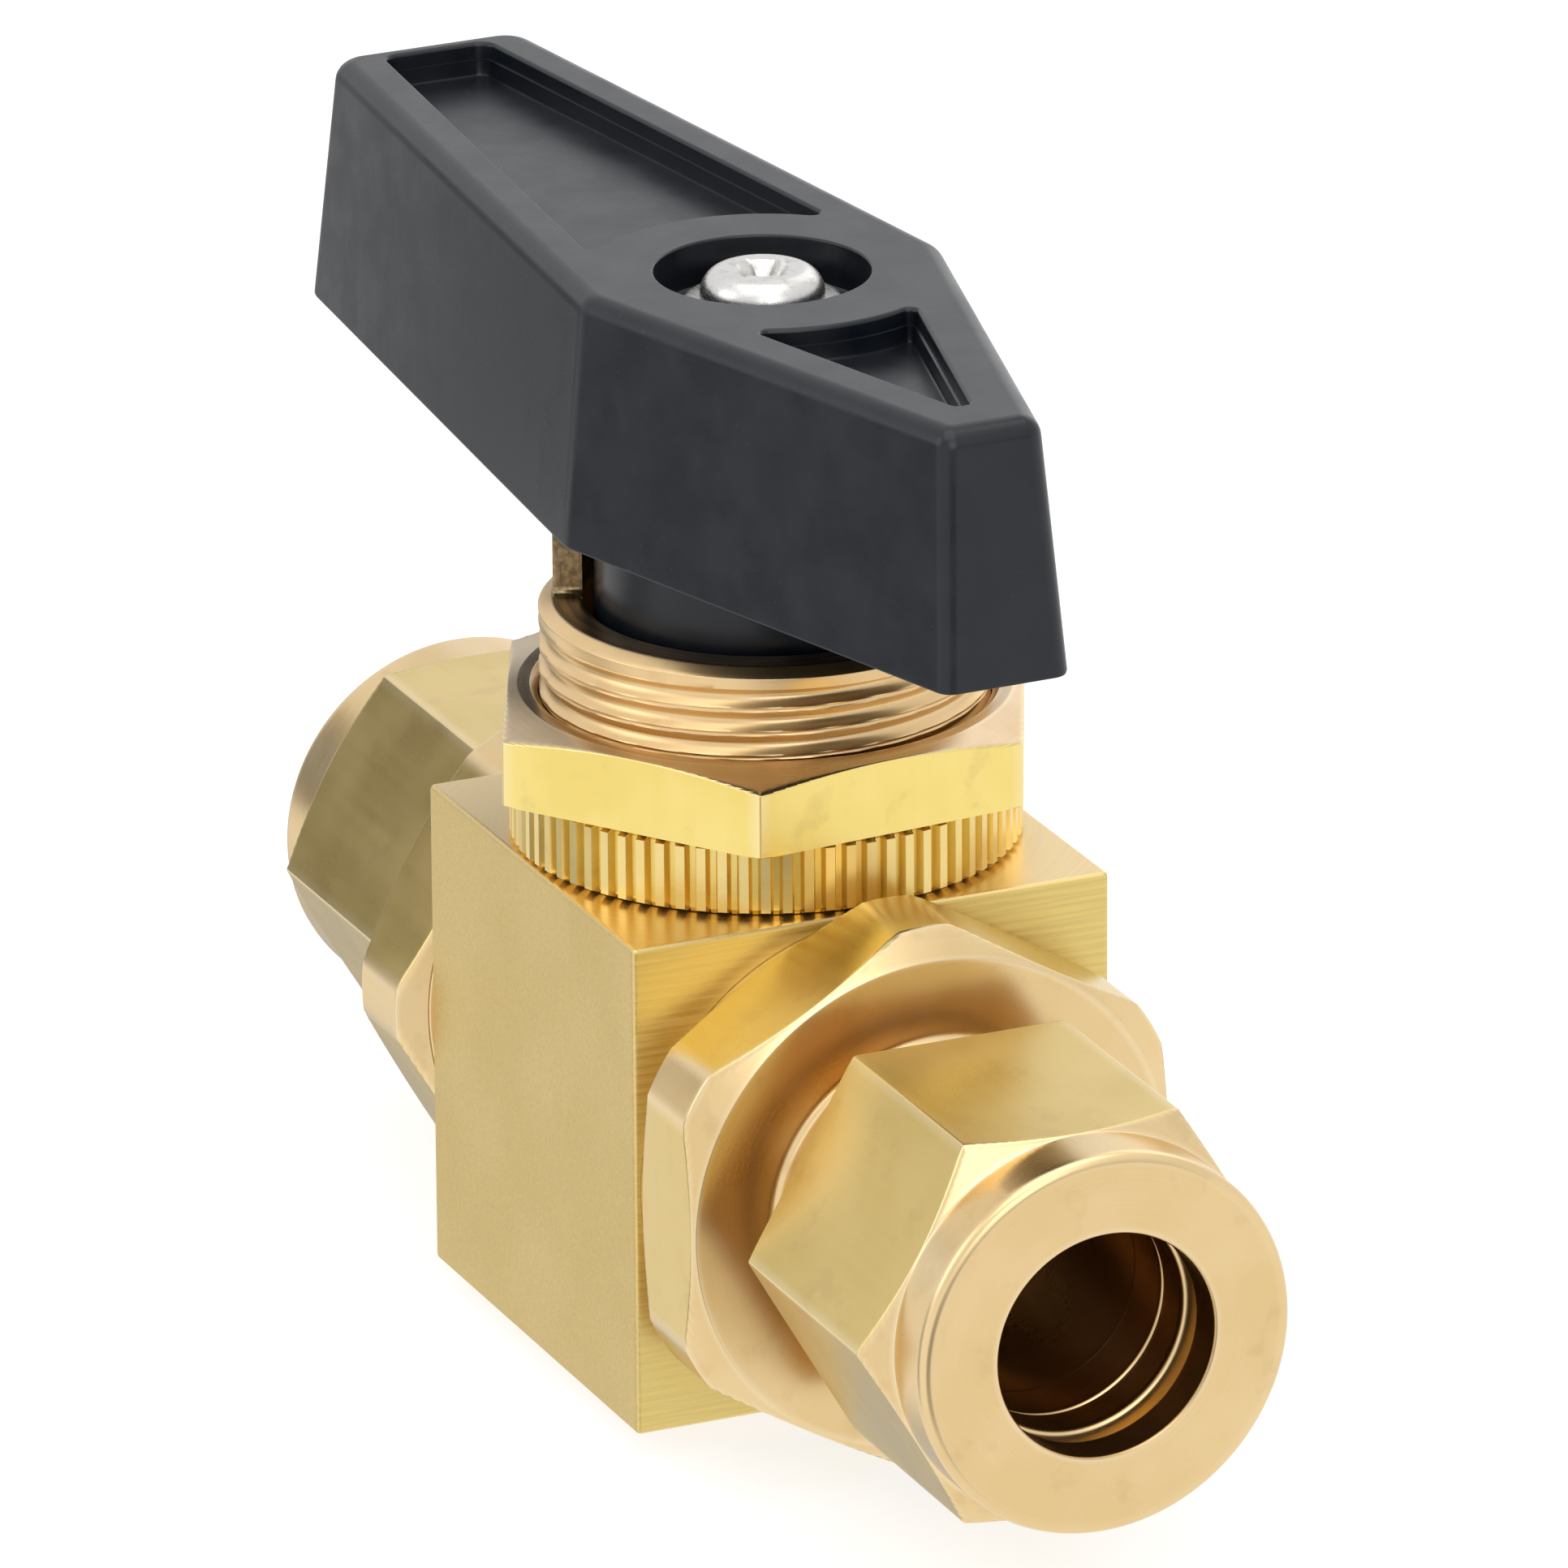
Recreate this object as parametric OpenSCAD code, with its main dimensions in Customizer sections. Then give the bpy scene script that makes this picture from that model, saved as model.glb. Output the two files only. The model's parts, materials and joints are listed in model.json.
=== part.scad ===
// Two-way quarter-turn valve: square brass body with a panel-mounting neck, lever handle,
// and compression tube fittings on both ends.
// Millimetres. Origin at the centre of the block's base, +Z up the stem, flow along X.

/* [Body] */
// Width, depth and height of the square block
block_w = 29; // [28.5:0.5:30]
// Edge break all round the block
block_break = 0.4; // [0.2:0.1:0.8]
// Outside diameter of the panel-mounting thread
neck_d = 25.4; // [25.2:0.1:25.6]
// Height of the neck above the block
neck_h = 14; // [14:0.5:16]
// Pitch of the neck thread
neck_pitch = 1.4; // [1.2:0.1:1.6]
// Bore in the mouth of the neck, which the handle's hub turns in
mouth_d = 20.4; // [20.2:0.1:20.6]
// Height of the stop lug above the neck
lug_h = 4.1; // [3.8:0.1:4.2]
// Angle of the lug's face that the handle leaves as it closes
lug_face_angle = 246; // [244:1:248]

/* [Panel hardware] */
// Outside diameter of the knurled ring
ring_d = 28.9; // [28.5:0.1:29]
// Thickness of the knurled ring
ring_h = 4.4; // [4:0.1:4.5]
// Number of knurl teeth
ring_teeth = 75; // [60:1:90]
// Panel nut across its flats
panel_nut_af = 29; // [28.6:0.1:29.4]
// Thickness of the panel nut
panel_nut_h = 4.5; // [4.2:0.1:4.6]

/* [End fittings] */
// Outside diameter of the tube that the valve takes
tube_d = 12.7; // [12.7:0.1:12.8]
// Flow bore through the connectors and the ball
flow_d = 10.3; // [9.5:0.1:10.4]
// Connector hexagon across its flats
flange_af = 29.1; // [28.8:0.1:29.4]
// Diameter that the hexagon's corners are turned to
flange_corner_d = 32; // [31.6:0.1:32.4]
// Tube nut across its flats
tube_nut_af = 22.2; // [22.2:0.1:22.4]
// Length over both tube nuts
overall_l = 90.4; // [90:0.1:91]

/* [Handle] */
// Height of the moulded handle
handle_h = 14.5; // [14:0.5:15]
// Reach of the long arm's top from the stem
handle_far = 46.2; // [45:0.1:47]
// Reach of the pointed nose's top from the stem
handle_near = 29.3; // [28:0.1:30]
// Half width of the handle's top at the stem
handle_mid_w = 11; // [10.8:0.1:11.2]
// Turn of the handle past straight, against its open stop
handle_rest_angle = 1.2; // [0:0.1:2]
// Diameter of the hub under the handle
hub_d = 19.1; // [18.8:0.1:19.2]
// Diameter of the counterbore for the screw
screw_well_d = 12.1; // [11.8:0.1:12.4]

/* [Trim] */
// Diameter of the stem in the packing
stem_d = 8; // [8:0.1:8.1]
// Diameter of the ball
ball_d = 16.4; // [16.2:0.1:16.4]

/* [Hidden] */
$fn = 96;
EPS = 0.01;
FIT = 0.05;

// Heights up the stem axis
flow_z = block_w / 2;
neck_top = block_w + neck_h;
mouth_floor = neck_top - 3;
handle_bottom = neck_top + 4.6;
handle_top = handle_bottom + handle_h;
hub_bottom = mouth_floor + 0.5;
well_floor = handle_top - 2.7;
stem_top = well_floor - 0.5;
shoulder_bottom = 23.4;
washer_bottom = 25;
chamber_top = 25.8;
packing_bottom = 27.6;
packing_ring_h = 1.8;
gland_bottom = packing_bottom + 3 * packing_ring_h;
gland_h = 2;
packing_nut_bottom = gland_bottom + gland_h;
packing_nut_h = mouth_floor - packing_nut_bottom - 0.6;

// Radii about the stem axis
neck_r = neck_d / 2;
thread_root_r = neck_r - 0.75;
mouth_r = mouth_d / 2;
lug_r = neck_r - 0.85;
lug_sweep = 40;
stem_r = stem_d / 2;
packing_r = 7;
packing_nut_r = 8.2;
shoulder_r = 5.6;
hub_r = hub_d / 2;
ear_r = lug_r - 0.2;
drive_flat = 5.6;

// The stop lug by the visible face, a second lug opposite, and the ear's room between them
stop_gap = 1.5;
handle_travel = 90 + handle_rest_angle;
lug_a_start = lug_face_angle - lug_sweep;
lug_b_start = lug_face_angle - 180 - 48;
ear_end = lug_a_start - stop_gap - handle_rest_angle;
ear_start = lug_b_start + lug_sweep + stop_gap + handle_travel - handle_rest_angle;

// Distances along the flow axis
face_x = block_w / 2;
washer_face_x = face_x + 1;
flange_front_x = face_x + 8;
cove_r = 0.6;
nose_start_x = flange_front_x + cove_r;
nut_back_x = 26.1;
nut_face_x = overall_l / 2;
nut_hex_front_x = 40.4;
nose_end_x = 36.8;
socket_floor_x = nut_face_x - 22.9;
spigot_end_x = 10.6;
seal_end_x = 10;
seat_front_x = 5.2;
ferrule_split_x = 39;
ferrule_front_x = 35;
ferrule_back_x = 41.2;

// Radii about the flow axis
tube_bore_r = tube_d / 2 + 0.1;
flow_r = flow_d / 2;
ball_r = ball_d / 2;
cavity_r = 8.6;
spigot_r = 10.3;
washer_face_r = 14.2;
flange_cone_r = 14.35;
nose_r = 9.5;
nut_thread_r = nose_r + 0.08;
nut_inner_r = 8.4;

// Handle: half widths of its top at both ends, slopes of its sides, and lean of its walls
far_w = 6;
near_w = 2.9;
arm_slope = atan((handle_mid_w - far_w) / handle_far);
nose_slope = atan((handle_mid_w - near_w) / handle_near);
wall_lean = 5.1;
nose_lean = 7;
wall = 2;
ceiling = well_floor - 1;
pocket_depth = 2;
long_pocket_arc_r = 10;
nose_pocket_arc_r = 10.4;

BRASS = "#d2b469";
PALE_BRASS = "#dcc89a";
STEEL = "#c9c9c9";
BLACK = "#3a3b3f";
WHITE = "#f1efe9";

// ---- Shared shapes ----

// A cylinder along +X from x0 to x1 on the flow axis
module along_x(x0, x1, r) {
    translate([x0, 0, flow_z]) rotate([0, 90, 0]) cylinder(h = x1 - x0, r = r);
}

// A profile of [distance, radius] points turned about the flow axis
module turned_x(points) {
    translate([0, 0, flow_z]) rotate([0, 90, 0]) rotate_extrude()
        polygon([for (p = points) [p[1], p[0]]]);
}

// A hexagonal bar along +X, with a corner up at turn 0
module hex_x(x0, x1, af, turn) {
    translate([x0, 0, flow_z]) rotate([0, 90, 0]) rotate([0, 0, turn])
        cylinder(h = x1 - x0, r = af / sqrt(3), $fn = 6);
}

// Everything on -X is the mirror image of its partner
module on_side(side) {
    if (side > 0) children();
    else mirror([1, 0, 0]) children();
}

// A flat ring standing on height z
module ring(z, h, r_out, r_in) {
    translate([0, 0, z]) difference() {
        cylinder(h = h, r = r_out);
        translate([0, 0, -1]) cylinder(h = h + 2, r = r_in);
    }
}

// The part of a ring that lies between two angles
module ring_sector(z, h, r_out, r_in, start, sweep) {
    reach = 2 * r_out;
    intersection() {
        ring(z, h, r_out, r_in);
        translate([0, 0, z]) linear_extrude(h)
            polygon([[0, 0], for (a = [start, start + sweep]) reach * [cos(a), sin(a)]]);
    }
}

// A square block with every edge broken
module broken_block(w, c) {
    face = [for (s = [[1, 1], [-1, 1], [-1, -1], [1, -1]], k = [0, 1])
        let (cut = (s[0] * s[1] > 0) == (k == 0) ? [0, c] : [c, 0])
        [s[0] * (w / 2 - cut[0]), s[1] * (w / 2 - cut[1])]];
    intersection() {
        linear_extrude(w) polygon(face);
        translate([0, w / 2, w / 2]) rotate([90, 0, 0]) linear_extrude(w) polygon(face);
        translate([-w / 2, 0, w / 2]) rotate([90, 0, 90]) linear_extrude(w) polygon(face);
    }
}

// Outline of the threaded neck: trapezoid crests from the block up to a chamfered rim
function thread_points(z0, z1, pitch, crest_r, root_r) =
    [for (i = [0 : floor((z1 - z0) / pitch) - 1], k = [0 : 3])
        [k == 1 || k == 2 ? crest_r : root_r, z0 + (i + [0.1, 0.4, 0.6, 0.9][k]) * pitch]];

module stem_bore_cut() {
    translate([0, 0, flow_z]) cylinder(h = chamber_top - flow_z, r = shoulder_r + 0.2);
    translate([0, 0, flow_z]) cylinder(h = neck_top - flow_z, r = stem_r + FIT);
    translate([0, 0, packing_bottom]) cylinder(h = neck_top - packing_bottom, r = packing_r);
    translate([0, 0, packing_nut_bottom]) cylinder(h = neck_top - packing_nut_bottom, r = packing_nut_r);
    translate([0, 0, mouth_floor]) cylinder(h = neck_top - mouth_floor + lug_h + 1, r = mouth_r);
}

// ---- Body and panel hardware ----

module threaded_neck() {
    thread_top = neck_top - 1.1;
    rotate_extrude() polygon(concat(
        [[0, block_w - 1], [thread_root_r, block_w - 1]],
        thread_points(block_w + 0.5, thread_top - 0.3, neck_pitch, neck_r, thread_root_r),
        [[thread_root_r, thread_top - 0.4], [neck_r, thread_top], [neck_r, thread_top + 0.5],
            [lug_r, neck_top], [0, neck_top]]));
}

module body() {
    color(PALE_BRASS) difference() {
        union() {
            broken_block(block_w, block_break);
            threaded_neck();
            ring_sector(neck_top - 1, lug_h + 1, lug_r, mouth_r - 1, lug_a_start, lug_sweep);
            ring_sector(neck_top - 1, lug_h + 1, lug_r, mouth_r - 1, lug_b_start, lug_sweep);
        }
        stem_bore_cut();
        along_x(-face_x - 1, face_x + 1, cavity_r);
        along_x(seal_end_x, face_x + 1, spigot_r);
        along_x(-face_x - 1, -seal_end_x, spigot_r);
    }
}

// Straight knurl: flat-topped teeth all round, each as [share of its pitch, depth below the crest]
module knurled_ring() {
    z0 = block_w + FIT;
    tooth = 0.45;
    tooth_corners = [[0.14, tooth], [0.28, 0], [0.72, 0], [0.86, tooth]];
    teeth = [for (i = [0 : ring_teeth - 1], corner = tooth_corners)
        let (angle = (i + corner[0]) * 360 / ring_teeth)
        (ring_d / 2 - corner[1]) * [cos(angle), sin(angle)]];
    color(BRASS) translate([0, 0, z0]) difference() {
        linear_extrude(ring_h - 2 * FIT) polygon(teeth);
        translate([0, 0, -1]) cylinder(h = ring_h + 2, r = neck_r + FIT);
    }
}

// Thin hexagon nut with its top corners turned away
module panel_nut() {
    corner_r = panel_nut_af / sqrt(3);
    flat_r = panel_nut_af / 2;
    slope = tan(15);
    color(BRASS) translate([0, 0, block_w + ring_h]) difference() {
        intersection() {
            rotate([0, 0, -25]) cylinder(h = panel_nut_h, r = corner_r, $fn = 6);
            rotate_extrude() polygon([
                [0, 0], [flat_r - 0.3, 0], [corner_r + 1, 1.3 * slope + (corner_r - flat_r) * slope],
                [corner_r + 1, panel_nut_h - (corner_r + 1 - flat_r + 0.6) * slope],
                [flat_r - 0.6, panel_nut_h], [0, panel_nut_h]]);
        }
        translate([0, 0, -1]) cylinder(h = panel_nut_h + 2, r = neck_r + FIT);
        translate([0, 0, panel_nut_h - 0.5])
            cylinder(h = 0.5 + EPS, r1 = neck_r + FIT, r2 = neck_r + 0.5);
    }
}

// ---- Handle group ----

// Everything inside one leaning wall, whose top is a distance from the stem towards an angle
module lever_wall(angle, distance, lean) {
    size = 150;
    rotate([0, 0, angle]) translate([distance, 0, handle_top]) rotate([0, -lean, 0])
        translate([-size, -size / 2, -size / 2]) cube(size);
}

// Six-walled lever between two heights, with its walls moved in by an inset
module lever_solid(inset, z0, z1) {
    arm_r = handle_mid_w * cos(arm_slope) - inset;
    nose_r = handle_mid_w * cos(nose_slope) - inset;
    intersection() {
        translate([-100, -50, z0]) cube([200, 100, z1 - z0]);
        lever_wall(180, handle_far - inset, wall_lean);
        lever_wall(90 + arm_slope, arm_r, wall_lean);
        lever_wall(-90 - arm_slope, arm_r, wall_lean);
        lever_wall(90 - nose_slope, nose_r, wall_lean);
        lever_wall(-90 + nose_slope, nose_r, wall_lean);
        lever_wall(0, handle_near - inset, nose_lean);
    }
}

module lever_shell() {
    difference() {
        lever_solid(0, handle_bottom, handle_top);
        lever_solid(wall, handle_bottom - 1, ceiling);
    }
}

// Sunk panel in the long arm: follows the outline and ends on an arc round the screw well
module long_pocket() {
    translate([0, 0, handle_top - pocket_depth]) linear_extrude(pocket_depth + 1) difference() {
        polygon([[1.6 - handle_far, 3.3], [1.6 - handle_far, -3.3], [-6, -7.5], [-6, 7.5]]);
        circle(r = long_pocket_arc_r);
    }
}

// Sunk triangle in the nose, its back edge on an arc round the screw well
module nose_pocket() {
    tip_x = handle_near - 3.8;
    translate([0, 0, handle_top - pocket_depth]) linear_extrude(pocket_depth + 1) difference() {
        polygon([[6, 6.1], [6, -6.1], [tip_x, -0.25], [tip_x, 0.25]]);
        circle(r = nose_pocket_arc_r);
    }
}

module double_d(z, h, extra) {
    intersection() {
        translate([0, 0, z]) cylinder(h = h, r = stem_r + extra);
        translate([-10, -drive_flat / 2 - extra, z]) cube([20, drive_flat + 2 * extra, h]);
    }
}

module handle() {
    ear_bottom = neck_top + 0.3;
    color(BLACK) rotate([0, 0, handle_rest_angle]) difference() {
        union() {
            lever_shell();
            translate([0, 0, hub_bottom]) cylinder(h = well_floor - hub_bottom, r = hub_r);
            ring_sector(ear_bottom, ceiling + 0.5 - ear_bottom, ear_r, hub_r - 1,
                ear_start, ear_end - ear_start);
        }
        translate([0, 0, well_floor]) cylinder(h = 10, r = screw_well_d / 2);
        double_d(hub_bottom - 1, well_floor - hub_bottom + 2, FIT);
        long_pocket();
        nose_pocket();
    }
}

module handle_screw() {
    head_bottom = well_floor + 1;
    head_r = 3.5;
    head_h = 1.8;
    crown_r = 1.3;
    shank_r = 1.95;
    color(STEEL) rotate([0, 0, handle_rest_angle]) difference() {
        rotate_extrude() polygon(concat(
            [[0, head_bottom - 12], [shank_r - 0.4, head_bottom - 12], [shank_r, head_bottom - 11.4],
                [shank_r, head_bottom], [head_r, head_bottom]],
            [for (a = [0 : 15 : 90])
                [head_r - crown_r + crown_r * cos(a), head_bottom + head_h - crown_r + crown_r * sin(a)]],
            [[0, head_bottom + head_h]]));
        for (turn = [0, 90]) rotate([0, 0, turn + 20])
            translate([-1.7, -0.4, head_bottom + 0.3]) cube([3.4, 0.8, 3]);
    }
}

module screw_washer() {
    color(STEEL) ring(well_floor, 1, 4.6, 2.2);
}

module stem() {
    tang_w = 3.8;
    tap_depth = 11.5;
    color(STEEL) rotate([0, 0, handle_rest_angle]) difference() {
        union() {
            translate([-tang_w / 2, -4.2, shoulder_bottom - 3]) cube([tang_w, 8.4, 3.1]);
            translate([0, 0, shoulder_bottom])
                cylinder(h = washer_bottom - FIT - shoulder_bottom, r = shoulder_r);
            translate([0, 0, shoulder_bottom]) cylinder(h = hub_bottom - shoulder_bottom, r = stem_r);
            double_d(hub_bottom, stem_top - hub_bottom, 0);
        }
        translate([0, 0, stem_top - tap_depth]) cylinder(h = tap_depth + 1, r = 2);
    }
}

module ball() {
    slot_w = 4;
    color(STEEL) rotate([0, 0, handle_rest_angle]) difference() {
        translate([0, 0, flow_z]) sphere(r = ball_r);
        along_x(-ball_r, ball_r, flow_r);
        translate([-slot_w / 2, -ball_r, shoulder_bottom - 3]) cube([slot_w, 2 * ball_r, 5]);
    }
}

// ---- Flow path ----

// Ring with a spherical face that the ball seals on
module seat(side) {
    color(WHITE) on_side(side) difference() {
        along_x(seat_front_x, spigot_end_x, cavity_r - FIT);
        along_x(seat_front_x - 1, spigot_end_x + 1, flow_r);
        translate([0, 0, flow_z]) sphere(r = ball_r + FIT);
    }
}

// Flat seal between the body's step and the end of the connector
module connector_seal(side) {
    color(WHITE) on_side(side)
        turned_x([[seal_end_x, cavity_r], [spigot_end_x, cavity_r],
            [spigot_end_x, spigot_r - FIT], [seal_end_x, spigot_r - FIT]]);
}

// Screwed-in end: spigot, washer face, turned hexagon, cove and threaded nose
module end_connector(side, turn) {
    corner_r = flange_corner_d / 2;
    cove = [for (a = [0 : 15 : 90])
        [nose_start_x - cove_r * cos(a), nose_r + cove_r - cove_r * sin(a)]];
    color(BRASS) on_side(side) difference() {
        union() {
            along_x(spigot_end_x, washer_face_x, spigot_r - FIT);
            along_x(face_x, washer_face_x, washer_face_r);
            intersection() {
                hex_x(washer_face_x, flange_front_x, flange_af, turn);
                turned_x([[washer_face_x, 0], [washer_face_x, flange_cone_r],
                    [washer_face_x + 0.9, corner_r], [flange_front_x - 1.1, corner_r],
                    [flange_front_x, flange_cone_r], [flange_front_x, 0]]);
            }
            turned_x(concat([[flange_front_x - 1, 0], [flange_front_x - 1, nose_r + cove_r - 0.5]], cove,
                [[nose_end_x, nose_r], [nose_end_x, 0]]));
        }
        along_x(0, nose_end_x + 1, flow_r);
        along_x(socket_floor_x, nose_end_x + 1, tube_bore_r);
        turned_x([[ferrule_front_x - 1, 0], [ferrule_front_x - 1, tube_bore_r], [nose_end_x, 7.9],
            [nose_end_x + 1, 7.9], [nose_end_x + 1, 0]]);
    }
}

// Compression nut: hexagon with a turned collar, and a cone inside that closes the ferrules
module tube_nut(side) {
    flat_r = tube_nut_af / 2;
    corner_r = tube_nut_af / sqrt(3);
    color(BRASS) on_side(side) difference() {
        intersection() {
            union() {
                hex_x(nut_back_x, nut_hex_front_x + 2, tube_nut_af, 30);
                along_x(nut_back_x, nut_face_x, flat_r - 0.05);
            }
            turned_x([[nut_back_x, 0], [nut_back_x, flat_r], [nut_back_x + 1, corner_r],
                [nut_hex_front_x, corner_r], [nut_hex_front_x + 1.3, flat_r - 0.05],
                [nut_face_x - 0.5, flat_r - 0.05], [nut_face_x, flat_r - 0.55], [nut_face_x, 0]]);
        }
        along_x(nut_back_x - 1, nut_face_x + 1, tube_bore_r);
        turned_x([[nut_back_x - 1, 0], [nut_back_x - 1, nut_thread_r + 0.5],
            [nut_back_x, nut_thread_r + 0.5], [nut_back_x + 0.5, nut_thread_r],
            [nose_end_x + 0.7, nut_thread_r], [nose_end_x + 0.7, nut_inner_r],
            [ferrule_back_x, nut_inner_r], [ferrule_back_x + 1.6, tube_bore_r], [ferrule_back_x + 1.6, 0]]);
    }
}

module front_ferrule(side) {
    color(BRASS) on_side(side)
        turned_x([[ferrule_front_x, tube_bore_r], [ferrule_front_x, tube_bore_r + 0.25],
            [nose_end_x, 7.4], [nose_end_x + 0.6, 8], [ferrule_split_x, 8], [ferrule_split_x, 7.6],
            [ferrule_split_x - 0.7, tube_bore_r]]);
}

module back_ferrule(side) {
    color(BRASS) on_side(side)
        turned_x([[ferrule_split_x - 0.55, tube_bore_r], [ferrule_split_x + FIT, 7.3],
            [ferrule_split_x + 0.7, 7.3], [ferrule_split_x + 0.7, 8], [ferrule_back_x - 0.3, 8],
            [ferrule_back_x, 7.7], [ferrule_back_x, tube_bore_r]]);
}

// ---- Stem seals ----

module thrust_washer() {
    color(WHITE) ring(washer_bottom, chamber_top - washer_bottom, shoulder_r + 0.15, stem_r + FIT);
}

// Chevron ring: its lower and upper faces rise by vee at mid width
module packing_ring(index, vee_bottom, vee_top) {
    z0 = packing_bottom + index * packing_ring_h;
    z1 = z0 + packing_ring_h;
    r_in = stem_r + FIT;
    r_out = packing_r - FIT;
    mid = (r_in + r_out) / 2;
    color(WHITE) rotate_extrude() polygon([
        [r_in, z0], [mid, z0 + vee_bottom], [r_out, z0], [r_out, z1], [mid, z1 + vee_top], [r_in, z1]]);
}

module gland_ring() {
    color(STEEL) ring(gland_bottom, gland_h, packing_r - FIT, stem_r + 0.1);
}

// Ring nut in the neck, with two slots for its key
module packing_nut() {
    color(BRASS) difference() {
        ring(packing_nut_bottom, packing_nut_h, packing_nut_r - FIT, stem_r + 0.1);
        translate([-10, -1.25, packing_nut_bottom + packing_nut_h - 1.3]) cube([20, 2.5, 3]);
    }
}

body();
knurled_ring();
panel_nut();
handle();
handle_screw();
screw_washer();
stem();
ball();
seat(1);  // seat_a
seat(-1);  // seat_b
end_connector(1, 0);  // end_connector_a
end_connector(-1, 30);  // end_connector_b
connector_seal(1);  // connector_seal_a
connector_seal(-1);  // connector_seal_b
tube_nut(1);  // tube_nut_a
tube_nut(-1);  // tube_nut_b
front_ferrule(1);  // front_ferrule_a
front_ferrule(-1);  // front_ferrule_b
back_ferrule(1);  // back_ferrule_a
back_ferrule(-1);  // back_ferrule_b
thrust_washer();
packing_ring(0, 0, 0.5);  // packing_lower
packing_ring(1, 0.5, 0.5);  // packing_middle
packing_ring(2, 0.5, 0);  // packing_upper
gland_ring();
packing_nut();
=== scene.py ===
"""Looks of a two-way quarter-turn valve with a square brass body and compression tube fittings.

Shapes are worked out in millimetres in the part's own frame: the origin is the centre of the block's
base, +Z goes up the stem and the flow runs along X. build() turns millimetres into metres.
"""

import json
import math

import bmesh
import bpy
from mathutils import Matrix, Vector


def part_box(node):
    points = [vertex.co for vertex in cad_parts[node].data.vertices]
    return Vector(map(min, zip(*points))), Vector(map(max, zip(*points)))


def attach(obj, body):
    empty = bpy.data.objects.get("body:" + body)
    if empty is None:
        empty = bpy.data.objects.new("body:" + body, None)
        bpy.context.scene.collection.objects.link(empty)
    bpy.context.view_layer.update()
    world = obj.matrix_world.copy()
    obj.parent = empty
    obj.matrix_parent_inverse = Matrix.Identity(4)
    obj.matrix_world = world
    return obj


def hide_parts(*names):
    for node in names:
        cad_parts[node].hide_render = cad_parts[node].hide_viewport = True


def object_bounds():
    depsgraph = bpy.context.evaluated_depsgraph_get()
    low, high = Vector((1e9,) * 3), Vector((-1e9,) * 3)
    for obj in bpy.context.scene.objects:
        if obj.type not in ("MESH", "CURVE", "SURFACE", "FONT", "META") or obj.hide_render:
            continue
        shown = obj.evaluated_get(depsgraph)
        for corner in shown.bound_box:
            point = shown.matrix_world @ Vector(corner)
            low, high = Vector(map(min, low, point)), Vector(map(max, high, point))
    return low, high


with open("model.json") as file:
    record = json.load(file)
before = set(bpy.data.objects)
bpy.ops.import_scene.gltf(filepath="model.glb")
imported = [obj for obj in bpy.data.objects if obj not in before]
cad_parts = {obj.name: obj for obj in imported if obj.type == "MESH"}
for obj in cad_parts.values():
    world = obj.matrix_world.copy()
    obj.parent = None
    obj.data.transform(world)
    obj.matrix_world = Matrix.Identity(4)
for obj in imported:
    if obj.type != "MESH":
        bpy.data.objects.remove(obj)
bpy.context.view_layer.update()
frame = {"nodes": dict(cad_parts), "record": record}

MM = 0.001
TURN = 2 * math.pi


def box_mm(node):
    """Lowest and highest corner of a CAD node, in millimetres."""
    low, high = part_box(node)
    return low / MM, high / MM


# ---- Sizes, from the frame's boxes and a few driving dimensions ----

block_half = box_mm("body")[1].x
block_top = 2 * block_half
flow_z = block_half
block_break = 0.3

ring_low, ring_high = box_mm("knurled_ring")
ring_teeth = 75
nut_low, nut_high = box_mm("panel_nut")
panel_nut_af = 29.0
panel_nut_turn = 5.0

neck_r = 12.7
neck_root_r = 12.25
neck_pitch = 1.4
thread_gap = 0.05
neck_top = block_top + 14.0
mouth_r = 10.2
mouth_floor = neck_top - 3.0
packing_nut_r = 8.2
packing_r = 7.0
rim_r = neck_r - 0.85
lug_top = box_mm("body")[1].z
lug_sweep = 40.0
lug_starts = (206.0, 18.0)

connector_inner_x = box_mm("end_connector_a")[0].x
connector_outer_x = box_mm("end_connector_a")[1].x
tube_nut_low, tube_nut_high = box_mm("tube_nut_a")
flange_af = 29.1
tube_nut_af = 22.2
tube_bore_r = 6.45
flow_r = 5.15
socket_floor_x = tube_nut_high.x - 22.9
socket_mouth_x = 35.0
ferrule_r = 7.95
ferrule_back_x = 41.2

rest_angle = 1.2
handle_low, handle_high = box_mm("handle")
hub_bottom = handle_low.z
handle_top = handle_high.z
handle_bottom = handle_top - 14.5
well_floor = handle_top - 2.7
ceiling = well_floor - 1.0
arm_reach = 46.2
nose_reach = 29.3
mid_half = 11.0
arm_half = 6.0
nose_half = 2.9
wall_lean = math.radians(5.1)
nose_lean = math.radians(7.0)
handle_wall = 2.0
arm_slope = math.atan((mid_half - arm_half) / arm_reach)
nose_slope = math.atan((mid_half - nose_half) / nose_reach)
hub_r = 9.55
ear_r = rim_r - 0.2
ear_angles = (149.5, 203.3)
well_r = 6.05
pocket_depth = 2.0
stem_r = 4.0
drive_half = 2.8
drive_gap = 0.05


# ---- Outlines ----


def wrapped(angle):
    """The same turn, between -180 and 180 degrees."""
    return (angle + math.pi) % TURN - math.pi


def arc(centre, radius, start, end, steps):
    """Points from one angle to another by the short way round."""
    sweep = wrapped(end - start)
    angles = [start + sweep * k / steps for k in range(steps + 1)]
    return [(centre[0] + radius * math.cos(a), centre[1] + radius * math.sin(a)) for a in angles]


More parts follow.
